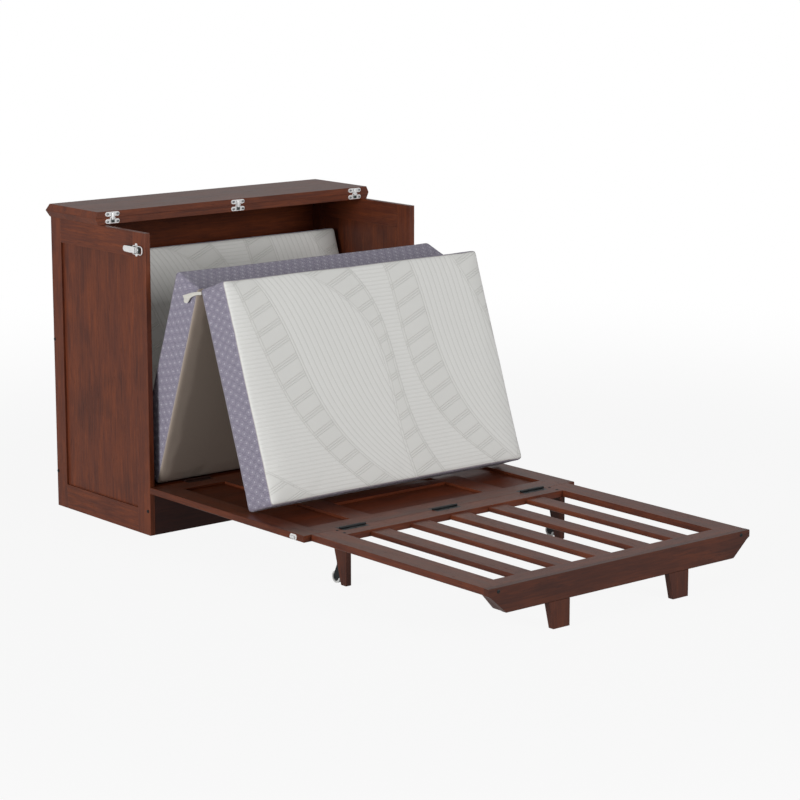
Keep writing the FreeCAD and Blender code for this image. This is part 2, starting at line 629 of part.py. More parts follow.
def latch_lever():
    """A channel with a round end, on its pin. Its cheeks carry the bail behind that pin."""
    x0 = PLATE_X
    x1 = PLATE_X + PLATE_THICK
    tip = LEVER_END - 9.0
    narrow = CHEEK[1]
    lines = Part.makePolygon([Vector(x0, tip, LATCH_Z - 9), Vector(x0, 72, LATCH_Z - 10),
                              Vector(x0, LATCH_PIN_Y, LATCH_Z - narrow),
                              Vector(x0, LATCH_PIN_Y, LATCH_Z + narrow),
                              Vector(x0, 72, LATCH_Z + 10), Vector(x0, tip, LATCH_Z + 9)])
    end = Part.Arc(Vector(x0, tip, LATCH_Z + 9), Vector(x0, LEVER_END, LATCH_Z),
                   Vector(x0, tip, LATCH_Z - 9)).toShape()
    lever = Part.Face(Part.Wire(lines.Edges + [end])).extrude(Vector(x1 - x0, 0, 0))

    def cheek(z0, z1):
        side = box(x1, BAIL_PIN_X + 2.6, LATCH_PIN_Y, BAIL_PIN_Y + 4, z0, z1)
        return side.fuse(rod_z(LATCH_PIN_X, LATCH_PIN_Y, z0, z1, 2.9))

    for piece in both_sides(cheek, *CHEEK):
        lever = lever.fuse(piece)
    lever = lever.fuse(rod_z(LATCH_PIN_X, LATCH_PIN_Y, LATCH_Z - EAR[1], LATCH_Z + EAR[1],
                             PIN_RADIUS))
    reach = WIRE + PIN_GAP
    notch = box(BAIL_PIN_X - reach, BAIL_PIN_X + reach, BAIL_PIN_Y - reach, BAIL_PIN_Y + reach,
                LATCH_Z - 20, LATCH_Z + 20)
    return lever.removeSplitter().cut(notch)


def latch_bail():
    """A wire loop, flattened where it narrows to the front, on a round bar through the cheeks."""
    half = WIRE * 0.85
    behind = BAIL_PIN_Y + 10
    points = []
    for y, z in ((behind, -BAIL_HALF), (15, -BAIL_HALF + 0.5), (9.5, -BAIL_HALF + 6),
                 (9.5, BAIL_HALF - 6), (15, BAIL_HALF - 0.5), (behind, BAIL_HALF)):
        points.append(Vector(BAIL_PIN_X - half, y, LATCH_Z + z))
    middle = Part.makePolygon(points + points[:1])
    outer = Part.Face(middle.makeOffset2D(half, 2))
    inner = Part.Face(middle.makeOffset2D(-half, 2))
    loop = outer.cut(inner).extrude(Vector(2 * half, 0, 0))
    loop = loop.common(box(BAIL_PIN_X - 5, BAIL_PIN_X + 5, 0, BAIL_PIN_Y,
                           LATCH_Z - 20, LATCH_Z + 20))
    bar = rod_z(BAIL_PIN_X, BAIL_PIN_Y, LATCH_Z - BAIL_HALF - WIRE, LATCH_Z + BAIL_HALF + WIRE,
                WIRE)
    return bar.fuse(loop)


base, lever, bail = latch_base(), latch_lever(), latch_bail()
save("left_latch_base", base)
save("left_latch_lever", lever)
save("left_latch_bail", bail)
save("right_latch_base", mirrored(base))
save("right_latch_lever", mirrored(lever))
save("right_latch_bail", mirrored(bail))

# ---- mattress: three sections, folded in a zigzag -----------------------------------------

def section_outline(x, inset, crown, pull):
    """One cross-section of a mattress section: rounded corners, crowned faces, drawn-in ends.

    Local Y runs from the underside (0) to the sleeping face, local Z along the section.
    """
    r = EDGE_ROUND
    y0, y1 = inset, THICK - inset
    z0, z1 = inset, SECTION - inset
    r = max(r - inset, 3.0)
    k = r * (1 - math.sqrt(0.5))

    def arc(a, m, b):
        return Part.Arc(Vector(x, *a), Vector(x, *m), Vector(x, *b)).toShape()

    ym, zm = (y0 + y1) / 2, (z0 + z1) / 2
    edges = [
        arc((y0, z0 + r), (y0 - crown * 0.3, zm), (y0, z1 - r)),
        arc((y0, z1 - r), (y0 + k, z1 - k), (y0 + r, z1)),
        arc((y0 + r, z1), (ym, z1 - pull), (y1 - r, z1)),
        arc((y1 - r, z1), (y1 - k, z1 - k), (y1, z1 - r)),
        arc((y1, z1 - r), (y1 + crown, zm), (y1, z0 + r)),
        arc((y1, z0 + r), (y1 - k, z0 + k), (y1 - r, z0)),
        arc((y1 - r, z0), (ym, z0 + pull), (y0 + r, z0)),
        arc((y0 + r, z0), (y0 + k, z0 + k), (y0, z0 + r)),
    ]
    return Part.Wire(edges)


def mattress_section():
    width = MATTRESS_WIDTH
    stations = [(0.0, 11.0, 1.5, 1.0), (5.0, 3.5, 2.5, 1.5), (16.0, 0.0, 4.0, PULL_IN)]
    ends = [section_outline(*s) for s in stations]
    middle = [section_outline(width / 2, 0.0, CROWN, PULL_IN)]
    far = [section_outline(width - x, i, c, p) for x, i, c, p in reversed(stations)]
    return Part.makeLoft(ends + middle + far, True, True)


def leaning(shape, y, z, angle):
    """Stands a section with its underside edge on (y, z) and its face turned by an angle."""
    placed = shape.copy()
    placed.rotate(Vector(0, 0, 0), ALONG_X, math.degrees(angle))
    placed.translate(Vector(MATTRESS_LEFT, y, z))
    return placed


SOFT_GAP = 1.0
cushion = mattress_section()
fold_y = FOOT_HEEL_Y + SECTION * math.sin(FOOT_LEAN)
fold_z = DECK_TOP + SOFT_GAP + SECTION * math.cos(FOOT_LEAN)
middle_y = fold_y + SECTION * math.sin(MIDDLE_LEAN)
middle_z = fold_z - SECTION * math.cos(MIDDLE_LEAN)
white_y = middle_y + THICK * math.cos(MIDDLE_LEAN)
white_z = middle_z + THICK * math.sin(MIDDLE_LEAN)
head_y = white_y + THICK * math.cos(HEAD_LEAN) + SECTION * math.sin(HEAD_LEAN)
head_z = white_z - THICK * math.sin(HEAD_LEAN) + SECTION * math.cos(HEAD_LEAN)
foot_section = leaning(cushion, fold_y - SOFT_GAP, fold_z, math.pi - FOOT_LEAN)
middle_section = leaning(cushion, middle_y + SOFT_GAP, middle_z, MIDDLE_LEAN)
head_section = leaning(cushion, head_y + 3 * SOFT_GAP, head_z, math.pi - HEAD_LEAN)
save("mattress_foot", foot_section)
save("mattress_middle", middle_section)
save("mattress_head", head_section)

# a strip of cover fabric bridges the fold at its left end
tab_y = fold_y + 58
tab_z = fold_z - 46
tab = box(MATTRESS_LEFT - 1.8, MATTRESS_LEFT - 0.4, tab_y - 45, tab_y + 45, tab_z - 13, tab_z + 13)
tab.rotate(Vector(MATTRESS_LEFT, tab_y, tab_z), ALONG_X, 18)
save("mattress_fold_tab", tab)

print("origin y", ORIGIN_Y)
print("fold", fold_y, fold_z, "white fold", white_y, white_z, "head top", head_y, head_z)
print("lid pin", LID_PIN_Y, LID_PIN_Z, "door pin", DOOR_PIN_Y, PIN_Z, "seam pin", SEAM_PIN_Y, PIN_Z)
print("wheel", wheel_x, wheel_y, wheel_z, "latch", LATCH_PIN_X, LATCH_PIN_Y, BAIL_PIN_X)
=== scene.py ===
import math
import bpy
import bmesh
from mathutils import Matrix, Vector
from mathutils.noise import noise as noise_at


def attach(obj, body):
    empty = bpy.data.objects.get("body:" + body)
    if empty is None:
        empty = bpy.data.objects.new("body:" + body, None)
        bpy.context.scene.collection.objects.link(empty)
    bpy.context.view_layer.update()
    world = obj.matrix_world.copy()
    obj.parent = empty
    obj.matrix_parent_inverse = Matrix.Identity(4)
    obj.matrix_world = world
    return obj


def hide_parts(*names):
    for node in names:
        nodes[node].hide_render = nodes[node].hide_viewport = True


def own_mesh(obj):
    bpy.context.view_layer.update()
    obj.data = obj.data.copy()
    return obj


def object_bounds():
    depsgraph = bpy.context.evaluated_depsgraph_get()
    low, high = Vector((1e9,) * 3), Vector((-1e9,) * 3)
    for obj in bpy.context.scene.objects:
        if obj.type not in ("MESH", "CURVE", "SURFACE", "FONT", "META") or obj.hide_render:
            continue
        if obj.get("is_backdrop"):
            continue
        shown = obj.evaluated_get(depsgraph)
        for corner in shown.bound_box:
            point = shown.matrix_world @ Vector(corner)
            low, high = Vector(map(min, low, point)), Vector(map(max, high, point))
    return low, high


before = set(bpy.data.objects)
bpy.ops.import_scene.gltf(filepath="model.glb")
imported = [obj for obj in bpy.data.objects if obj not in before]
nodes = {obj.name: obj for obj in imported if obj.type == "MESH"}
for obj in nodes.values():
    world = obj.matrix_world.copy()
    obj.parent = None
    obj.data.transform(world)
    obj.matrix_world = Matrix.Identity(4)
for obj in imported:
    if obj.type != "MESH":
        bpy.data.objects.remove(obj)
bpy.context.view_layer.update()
bpy.ops.object.select_all(action="DESELECT")

# ---- cabinet sides -------------------------------------------------------------------------
# Each side is a frame of two stiles and two rails with a thin panel in its grooves. All of it
# is solid hardwood with a walnut-red stain and a satin lacquer, glued up before finishing.


class Sock:
    """A node's output, with the arithmetic that a surface needs written as expressions."""

    tree = None

    def __init__(self, socket):
        self.socket = socket

    @classmethod
    def node(cls, kind, settings=None, **values):
        """Adds one node: its settings first, then the values or links of its sockets.

        The setting "out" names the output that is wanted, where it isn't the first."""
        made = cls.tree.nodes.new(kind)
        settings = dict(settings or {})
        out = settings.pop("out", None)
        for key, value in settings.items():
            setattr(made, key, value)
        for key, value in values.items():
            name = key.replace("_", " ")
            found = [s for s in made.inputs if s.enabled and s.name == name]
            spot = found[0] if found else made.inputs[int(name[2:])]
            if isinstance(value, Sock):
                cls.tree.links.new(value.socket, spot)
            elif isinstance(value, tuple) and spot.type == "RGBA" and len(value) == 3:
                spot.default_value = (*value, 1.0)
            else:
                spot.default_value = value
        return cls([s for s in made.outputs if s.enabled and out in (None, s.name)][0])

    def _math(self, operation, *others, clamp=False):
        made = self.tree.nodes.new("ShaderNodeMath")
        made.operation = operation
        made.use_clamp = clamp
        for spot, value in zip(made.inputs, (self, *others)):
            if isinstance(value, Sock):
                self.tree.links.new(value.socket, spot)
            else:
                spot.default_value = value
        return Sock(made.outputs[0])

    def __add__(self, other): return self._math("ADD", other)
    def __radd__(self, other): return self._math("ADD", other)
    def __sub__(self, other): return self._math("SUBTRACT", other)
    def __rsub__(self, other): return self._math("MULTIPLY", -1.0)._math("ADD", other)
    def __mul__(self, other): return self._math("MULTIPLY", other)
    def __rmul__(self, other): return self._math("MULTIPLY", other)
    def __truediv__(self, other): return self._math("DIVIDE", other)
    def __pow__(self, other): return self._math("POWER", other)
    def __abs__(self): return self._math("ABSOLUTE")
    def __mod__(self, other): return self._math("FLOORED_MODULO", other)

    def most(self, other): return self._math("MAXIMUM", other)
    def clamp(self): return self._math("ADD", 0.0, clamp=True)

    def ease(self, low, high):
        """0 below low, 1 above high, smooth between them."""
        return Sock.node("ShaderNodeMapRange", {"interpolation_type": "SMOOTHSTEP"},
                         Value=self, From_Min=low, From_Max=high)

    def parts(self):
        """The three numbers of a vector."""
        made = self.tree.nodes.new("ShaderNodeSeparateXYZ")
        self.tree.links.new(self.socket, made.inputs[0])
        return [Sock(s) for s in made.outputs]

    def tint(self, low, high):
        """A colour from low to high as this value goes from 0 to 1."""
        return Sock.node("ShaderNodeMix", {"data_type": "RGBA"}, Factor=self, A=low, B=high)


def material(name):
    """A new material with one Principled shader; what follows adds its nodes there."""
    made = bpy.data.materials.new(name)
    made.use_nodes = True
    Sock.tree = made.node_tree
    return made, made.node_tree.nodes["Principled BSDF"]


def join(value, shader, name):
    """Leads a value or colour to one of the shader's sockets."""
    Sock.tree.links.new(value.socket, shader.inputs[name])


def noise(place, scale, detail=2.0, rough=0.5, bend=0.0):
    """Cloudy noise, with scale in clouds to the metre."""
    return Sock.node("ShaderNodeTexNoise", {}, Vector=place, Scale=scale, Detail=detail,
                     Roughness=rough, Distortion=bend)


def srgb(r, g, b):
    """A colour as it is read off a screen, made linear."""
    out = []
    for v in (r, g, b):
        v = v / 255.0
        out.append(v / 12.92 if v <= 0.04045 else ((v + 0.055) / 1.055) ** 2.4)
    return tuple(out)


STAIN = srgb(94, 48, 33)
STAIN_GLOW = srgb(132, 67, 36)
STAIN_DEEP = srgb(53, 25, 20)
PORE = srgb(34, 15, 12)
FIGURE_DRAW, FIBRE_DRAW = 0.14, 0.045  # how far both are stretched along the grain
WORN_AND_LIT_EDGE = 0.0014
GRAIN_TURN = {"x": (0.0, math.radians(90), 0.0), "y": (math.radians(90), 0.0, 0.0),
              "z": (0.0, 0.0, 0.0)}


def stained(name, run, seed, base=STAIN, glow=STAIN_GLOW, deep=STAIN_DEEP, gloss=0.31,
            sheen=0.28):
    """Stained hardwood whose grain runs along one axis; each board has its own figure."""
    made, shader = material(name)
    at = Sock.node("ShaderNodeTexCoord", {"out": "Object"})
    turned = Sock.node("ShaderNodeMapping", {}, Vector=at, Rotation=GRAIN_TURN[run],
                       Location=(seed * 1.37, seed * 2.11, seed * 0.73))
    wander = Sock.node("ShaderNodeMapping", {}, Vector=turned,
                       Scale=(1.0, 1.0, FIGURE_DRAW))
    drawn = Sock.node("ShaderNodeMapping", {}, Vector=turned,
                      Scale=(1.0, 1.0, FIBRE_DRAW))
    cloud = noise(wander, 17.0, 3.0, 0.55, 0.5)
    figure = noise(wander, 52.0, 4.0, 0.62, 0.9)
    streak = noise(drawn, 190.0, 3.0, 0.6)
    pore = noise(drawn, 640.0, 2.0, 0.7)
    blotch = noise(turned, 8.0, 2.0, 0.5)
    pores = pore.ease(0.56, 0.68) * streak.ease(0.38, 0.62)
    warm = (cloud.ease(0.36, 0.68) * 0.36 + figure.ease(0.42, 0.70) * 0.26
            + streak.ease(0.40, 0.72) * 0.34 - 0.10).clamp()
    dark = (blotch.ease(0.44, 0.74) * 0.30 + (1 - streak.ease(0.26, 0.52)) * 0.34
            + (1 - figure.ease(0.28, 0.50)) * 0.22 - 0.04).clamp()
    colour = dark.tint(warm.tint(base, glow), deep)
    colour = (pores * 0.7).tint(colour, PORE)
    soft = Sock.node("ShaderNodeBevel", {"samples": 4}, Radius=WORN_AND_LIT_EDGE)
    sharp = Sock.node("ShaderNodeNewGeometry", {"out": "Normal"})
    apart = Sock.node("ShaderNodeVectorMath", {"operation": "DOT_PRODUCT", "out": "Value"},
                      in0=soft, in1=sharp)
    # the rounded edges are tinted towards the glow colour: partly wear, partly a painted
    # highlight where they catch the light
    edge = (1 - apart).ease(0.01, 0.16)
    colour = (edge * 0.5).tint(colour, glow)
    join(colour, shader, "Base Color")
    shader.inputs["Specular IOR Level"].default_value = sheen
    join(gloss + streak * 0.10 + pores * 0.2 - edge * 0.06, shader, "Roughness")
    height = streak * 0.4 + pores * -1.0 + figure * 0.2
    bump = Sock.node("ShaderNodeBump", {}, Strength=0.14, Distance=0.0008, Height=height,
                     Normal=soft)
    join(bump, shader, "Normal")
    return made


def finish_node(name, made):
    """Gives a frame node its finish."""
    board = nodes[name]
    board.data.materials.clear()
    board.data.materials.append(made)


for side, seed in (("left", 1.0), ("right", 4.0)):
    finish_node(f"{side}_side_stiles", stained(f"{side}_stile_wood", "z", seed))
    finish_node(f"{side}_side_rails", stained(f"{side}_rail_wood", "y", seed + 1))
    finish_node(f"{side}_side_panel", stained(f"{side}_panel_wood", "z", seed + 2))

# ---- back, deck, kick board and cleats -----------------------------------------------------
# The back and the deck are faced boards, darker than the frame because they take less stain.
# The kick board closes the space under the deck, and cleats screwed to the sides carry it.

INSIDE = srgb(83, 35, 14)
INSIDE_GLOW = srgb(114, 53, 20)
INSIDE_DEEP = srgb(53, 21, 9)
for name, run, seed in (("back_panel", "x", 11.0), ("deck_panel", "x", 12.0),
                        ("deck_cleats", "x", 14.0)):
    finish_node(name, stained(f"{name}_wood", run, seed, INSIDE, INSIDE_GLOW, INSIDE_DEEP,
                               gloss=0.45, sheen=0.12))
# the kick board's darker, greyer stain is painted shade for the shadow that it lies in
finish_node("kick_board", stained("kick_wood", "x", 13.0, srgb(62, 36, 32), srgb(78, 44, 36),
                                  srgb(44, 26, 26), sheen=0.2))

# ---- top -----------------------------------------------------------------------------------
# The top is split along its length. The rear half is screwed to the cabinet, and the front
# half lies upside down on it, so the two bevelled edges meet in a ridge.

finish_node("rear_top_panel", stained("rear_top_wood", "x", 21.0))
finish_node("lid_panel", stained("lid_wood", "x", 22.0))

# ---- drop-down front -----------------------------------------------------------------------
# A framed front in three columns, with thin fields in its grooves. Its face lies down on the
# floor side, and its inside, which carries the mattress, looks up.

FRAME_WOOD = srgb(88, 45, 30), srgb(124, 62, 34), srgb(50, 24, 19)
FIELD_WOOD = srgb(84, 38, 20), srgb(114, 52, 24), srgb(52, 22, 13)
for name, run, seed in (("door_stiles", "y", 31.0), ("door_rails", "x", 32.0),
                        ("door_mullions", "y", 33.0)):
    finish_node(name, stained(f"{name}_wood", run, seed, *FRAME_WOOD, gloss=0.27, sheen=0.22))
for name, run, seed in (("door_cross_rails", "x", 34.0), ("door_side_fields", "x", 35.0),
                        ("door_middle_fields", "x", 36.0)):
    finish_node(name, stained(f"{name}_wood", run, seed, *FIELD_WOOD, gloss=0.33, sheen=0.12))

# ---- foot section --------------------------------------------------------------------------
# Four rails round five let-in slats, with an end board whose legs are housed in its back.
# Two short legs by the seam carry casters. Everything is the same stained hardwood; the end
# board and the legs take a darker copy of its stain as painted shade.

for name, run, seed in (("left_foot_rail", "y", 41.0), ("right_foot_rail", "y", 42.0),
                        ("rear_foot_rail", "x", 43.0), ("front_foot_rail", "x", 44.0)):
    finish_node(name, stained(f"{name}_wood", run, seed))
for i in range(1, 6):
    finish_node(f"slat_{i}", stained(f"slat_{i}_wood", "y", 44.0 + i))
# a darker copy of the stain: painted shade on the end board and the legs
PAINTED_SHADE_LEG_WOOD = srgb(73, 38, 28), srgb(100, 51, 31), srgb(45, 23, 19)
for name, run, seed in (("fascia_board", "x", 51.0), ("fascia_blocks", "x", 52.0),
                        ("left_front_leg", "z", 53.0), ("right_front_leg", "z", 54.0),
                        ("left_caster_leg", "z", 55.0), ("right_caster_leg", "z", 56.0)):
    finish_node(name, stained(f"{name}_wood", run, seed, *PAINTED_SHADE_LEG_WOOD))

# ---- hinges and catches --------------------------------------------------------------------
# The top's surface hinges, the latches and the catches are bright nickel-plated steel. The
# front's butt hinges are bronzed, and the seam's hinges, the bolts and the caster brackets
# are black. All of them are screwed on.


def plated(name, colour, rough, metal, wear):
    """Plated or painted steel with fine handling marks; wear darkens the smears."""
    made, shader = material(name)
    at = Sock.node("ShaderNodeTexCoord", {"out": "Object"})
    smear = noise(at, 60.0, 3.0, 0.6)
    scratch = noise(Sock.node("ShaderNodeMapping", {}, Vector=at, Scale=(1.0, 1.0, 0.08)),
                    900.0, 2.0)
    worn = tuple(c * wear for c in colour)
    join((smear.ease(0.45, 0.75) * 0.6).tint(colour, worn), shader, "Base Color")
    shader.inputs["Metallic"].default_value = metal
    join(rough + smear * 0.12 + scratch.ease(0.55, 0.7) * 0.1, shader, "Roughness")
    soft = Sock.node("ShaderNodeBevel", {"samples": 4}, Radius=0.0006)
    join(Sock.node("ShaderNodeBump", {}, Strength=0.1, Distance=0.0002, Height=scratch,
                   Normal=soft), shader, "Normal")
    return made


bright = plated("nickel_plate", srgb(240, 240, 240), 0.32, 0.25, 0.88)
# a greyer, darker nickel for the screws of the top's hinges than for their plates
dull = plated("grey_screw_nickel", srgb(128, 131, 134), 0.42, 0.5, 0.8)
# dark grey steel as painted shade: the latches' bases, which lie in shadow inside their loops,
# and the strips that stand for the shade in the hinges' notches
painted_shade_steel = plated("nickel_painted_shade", srgb(52, 57, 55), 0.4, 0.4, 0.8)
black = plated("black_steel", srgb(24, 29, 31), 0.36, 0.35, 0.7)
brown = plated("bronzed_steel", srgb(50, 24, 17), 0.5, 0.2, 0.75)
for steel, names in (
        (bright, ("lid_hinge_fixed_plates", "lid_hinge_moving_plates", "lid_hinge_pins",
                  "left_latch_lever", "right_latch_lever", "left_door_catch",
                  "right_door_catch")),
        (painted_shade_steel, ("left_latch_base", "right_latch_base")),
        (brown, ("door_hinge_fixed_leaves", "door_hinge_moving_leaves", "door_hinge_pins")),
        (black, ("seam_hinge_door_leaves", "seam_hinge_foot_leaves", "seam_hinge_pins",
                 "caster_brackets", "caster_axles"))):
    for name in names:
        finish_node(name, steel)

# ---- screws of the hinges, latches and catches ---------------------------------------------
# Countersunk steel screws with a crossed recess, plated as the hardware that they hold. They
# sit in the plates' holes, a hair proud of the metal.


def named(name):
    """The object that the last operator made, under its own name."""
    made = bpy.context.object
    made.name = name
    made.data.name = name
    return made


def pick(piece, test):
    """Edit mode, with only the faces whose middle and normal pass the test selected."""
    bpy.ops.object.mode_set(mode="EDIT")
    bpy.ops.mesh.select_mode(type="FACE")
    bpy.ops.mesh.select_all(action="DESELECT")
    shape = bmesh.from_edit_mesh(piece.data)
    for face in shape.faces:
        face.select_set(test(face.calc_center_median(), face.normal))
    bmesh.update_edit_mesh(piece.data)


def done(piece, angle=35):
    """Back to object mode, with its place and turn in the mesh and its round faces smooth."""
    if bpy.context.object.mode == "EDIT":
        bpy.ops.object.mode_set(mode="OBJECT")
    bpy.ops.object.transform_apply(location=True, rotation=True, scale=True)
    bpy.ops.object.shade_smooth_by_angle(angle=math.radians(angle))
    bpy.ops.object.select_all(action="DESELECT")
    return piece


def cut_with(piece, tool):
    """Takes the tool's shape out of the piece."""
    cut = piece.modifiers.new("cut", "BOOLEAN")
    cut.object, cut.operation, cut.solver = tool, "DIFFERENCE", "EXACT"
    bpy.ops.object.select_all(action="DESELECT")
    bpy.context.view_layer.objects.active = piece
    piece.select_set(True)
    bpy.ops.object.modifier_apply(modifier="cut")
    bpy.data.objects.remove(tool)


def screw_head(name, radius):
    """A flat head looking up from the origin, domed at its middle, with a crossed recess."""
    height = 0.0012
    bpy.ops.mesh.primitive_cylinder_add(vertices=24, radius=radius, depth=height,
                                        location=(0, 0, -0.0002))
    head = named(name)
    pick(head, lambda at, normal: normal.z > 0.9)
    bpy.ops.mesh.inset(thickness=radius * 0.16)
    bpy.ops.transform.translate(value=(0, 0, 0.0003))
    bpy.ops.mesh.inset(thickness=radius * 0.3)
    bpy.ops.transform.translate(value=(0, 0, 0.0002))
    bpy.ops.object.mode_set(mode="OBJECT")
    arms = []
    for turn in (0, 90):
        bpy.ops.mesh.primitive_cube_add(size=1, location=(0, 0, 0.0006),
                                        rotation=(0, 0, math.radians(turn)),
                                        scale=(radius * 1.15, radius * 0.24, height))
        arms.append(named("arm"))
    for arm in arms:
        cut_with(head, arm)
    bpy.ops.object.select_all(action="DESELECT")
    bpy.context.view_layer.objects.active = head
    head.select_set(True)
    return done(head)


UP, FORWARD = (0, 0, 1), (0, -1, 0)


def set_copies(model, name, spots, axis, body, made, spin=0.4):
    """Copies of a model as one piece, each turned its own way, looking along an axis."""
    turn = Matrix() if axis == UP else (
        Vector(axis).to_track_quat("Z", "Y").to_matrix().to_4x4())
    whole = bmesh.new()
    for i, spot in enumerate(spots):
        one = model.data.copy()
        one.transform(Matrix.Translation(spot) @ turn @ Matrix.Rotation(spin * (i + 1), 4, "Z"))
        whole.from_mesh(one)
        bpy.data.meshes.remove(one)
    mesh = bpy.data.meshes.new(name)
    whole.to_mesh(mesh)
    whole.free()
    piece = bpy.data.objects.new(name, mesh)
    bpy.context.scene.collection.objects.link(piece)
    mesh.materials.append(made)
    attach(piece, body)
    return piece


screw = screw_head("screw_model", 0.0034)
PLATE_FRONT = 0.7478
hinge_x = (-0.4827, 0.0, 0.4827)
for name, z, body in (("lid_hinge_low_screws", 0.9515, "cabinet"),
                      ("lid_hinge_high_screws", 0.9749, "lid")):
    set_copies(screw, name, [(x + s * 0.0185, PLATE_FRONT, z) for x in hinge_x
                             for s in (-1, 1)], FORWARD, body, dull)
LEAF_TOP = 0.1531
leaf_x = (-0.3534, 0.0, 0.3534)
zigzag = ((-0.036, -0.002), (0.0, 0.003), (0.036, -0.002))
for name, y, side, body, steel in (
        ("deck_hinge_screws", 0.5132, 1, "cabinet", brown),
        ("door_hinge_screws", 0.4855, -1, "door", brown),
        ("seam_hinge_inner_screws", -0.2620, 1, "door", black),
        ("seam_hinge_outer_screws", -0.2895, -1, "foot_section", black)):
    set_copies(screw, name, [(x + dx, y + side * dy, LEAF_TOP) for x in leaf_x
                             for dx, dy in zigzag], UP, body, steel)
for side, sign in (("left", -1), ("right", 1)):
    set_copies(screw, f"{side}_latch_screw", [(sign * 0.5350, 0.5395, 0.889)], (sign, 0, 0),
               "cabinet", bright)
big = screw_head("leg_screw_model", 0.0046)
set_copies(big, "caster_leg_screws",
           [(s * 0.418, y, LEAF_TOP) for s in (-1, 1) for y in (-0.2853, -0.3193)],
           UP, "foot_section", black)
for model in (screw, big):
    bpy.data.objects.remove(model)

# ---- hinge straps --------------------------------------------------------------------------
# On each of the top's hinges a short strap folds from the upper plate round the pin. Where the
# lower plate is notched for it, a thin dark strip on its front is painted shade for the notch.
# Both are pressed from the same plate.

PIN_HEIGHT = 0.9572
for name, body, made, low, high, half, front, back in (
        ("lid_hinge_straps", "lid", bright, PIN_HEIGHT, 0.9795, 0.0046, 0.7458, PLATE_FRONT),
        ("lid_hinge_notch_shadows", "cabinet", painted_shade_steel, 0.9478, PIN_HEIGHT, 0.0058, 0.7470, 0.7480)):
    bpy.ops.mesh.primitive_cube_add(size=1, location=(0, (front + back) / 2, (low + high) / 2),
                                    scale=(half * 2, back - front, high - low))
    strap = named(f"{name}_model")
    bpy.ops.object.transform_apply(location=True, rotation=False, scale=True)
    pick(strap, lambda at, normal: normal.y < -0.9)
    bpy.ops.mesh.bevel(offset=0.0007, segments=3, affect="EDGES")
    done(strap)
    set_copies(strap, name, [(x, 0, 0) for x in hinge_x], UP, body, made,
               spin=0.0)
    bpy.data.objects.remove(strap)

# ---- bolts ---------------------------------------------------------------------------------
# Black furniture bolts with a low round head and a six-sided socket. They pull the sides onto
# the back and the deck, and the end board onto the foot section.

HEAD_RADIUS, SOCKET_RADIUS = 0.0052, 0.0026
bpy.ops.mesh.primitive_cylinder_add(vertices=32, radius=HEAD_RADIUS, depth=0.0014,
                                    location=(0, 0, 0.0006))
bolt = named("bolt_model")
pick(bolt, lambda at, normal: normal.z > 0.9)
bpy.ops.mesh.inset(thickness=0.0010)
bpy.ops.transform.translate(value=(0, 0, 0.0004))
bpy.ops.mesh.inset(thickness=0.0008)
bpy.ops.transform.translate(value=(0, 0, 0.0001))
bpy.ops.object.mode_set(mode="OBJECT")
bpy.ops.mesh.primitive_cylinder_add(vertices=6, radius=SOCKET_RADIUS, depth=0.003,
                                    location=(0, 0, 0.0021))
cut_with(bolt, named("socket"))
bpy.context.view_layer.objects.active = bolt
bolt.select_set(True)
done(bolt)
SIDE_FACE = 0.5334
BACK_BOLTS_Y, KICK_BOLT_Y = 1.02275, 0.51175
for side, sign in (("left", -1), ("right", 1)):
    made = set_copies(bolt, f"{side}_side_bolts",
                      [(sign * SIDE_FACE, y, z) for y, z in (
                          (BACK_BOLTS_Y, 0.548), (BACK_BOLTS_Y, 0.1146), (KICK_BOLT_Y, 0.076))],
                      (sign, 0, 0), "cabinet", black)
    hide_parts("cabinet_bolts")
made = set_copies(bolt, "end_board_bolts", [(s * 0.4695, -1.03925, 0.1425) for s in (-1, 1)],
                  FORWARD, "foot_section", black)
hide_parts("fascia_bolts")
bpy.data.objects.remove(bolt)

# ---- latch loops ---------------------------------------------------------------------------
# Each toggle latch pulls a loop of round wire over the door's catch. The wire is bent from
# one length, with a straight bar through the lever's cheeks.

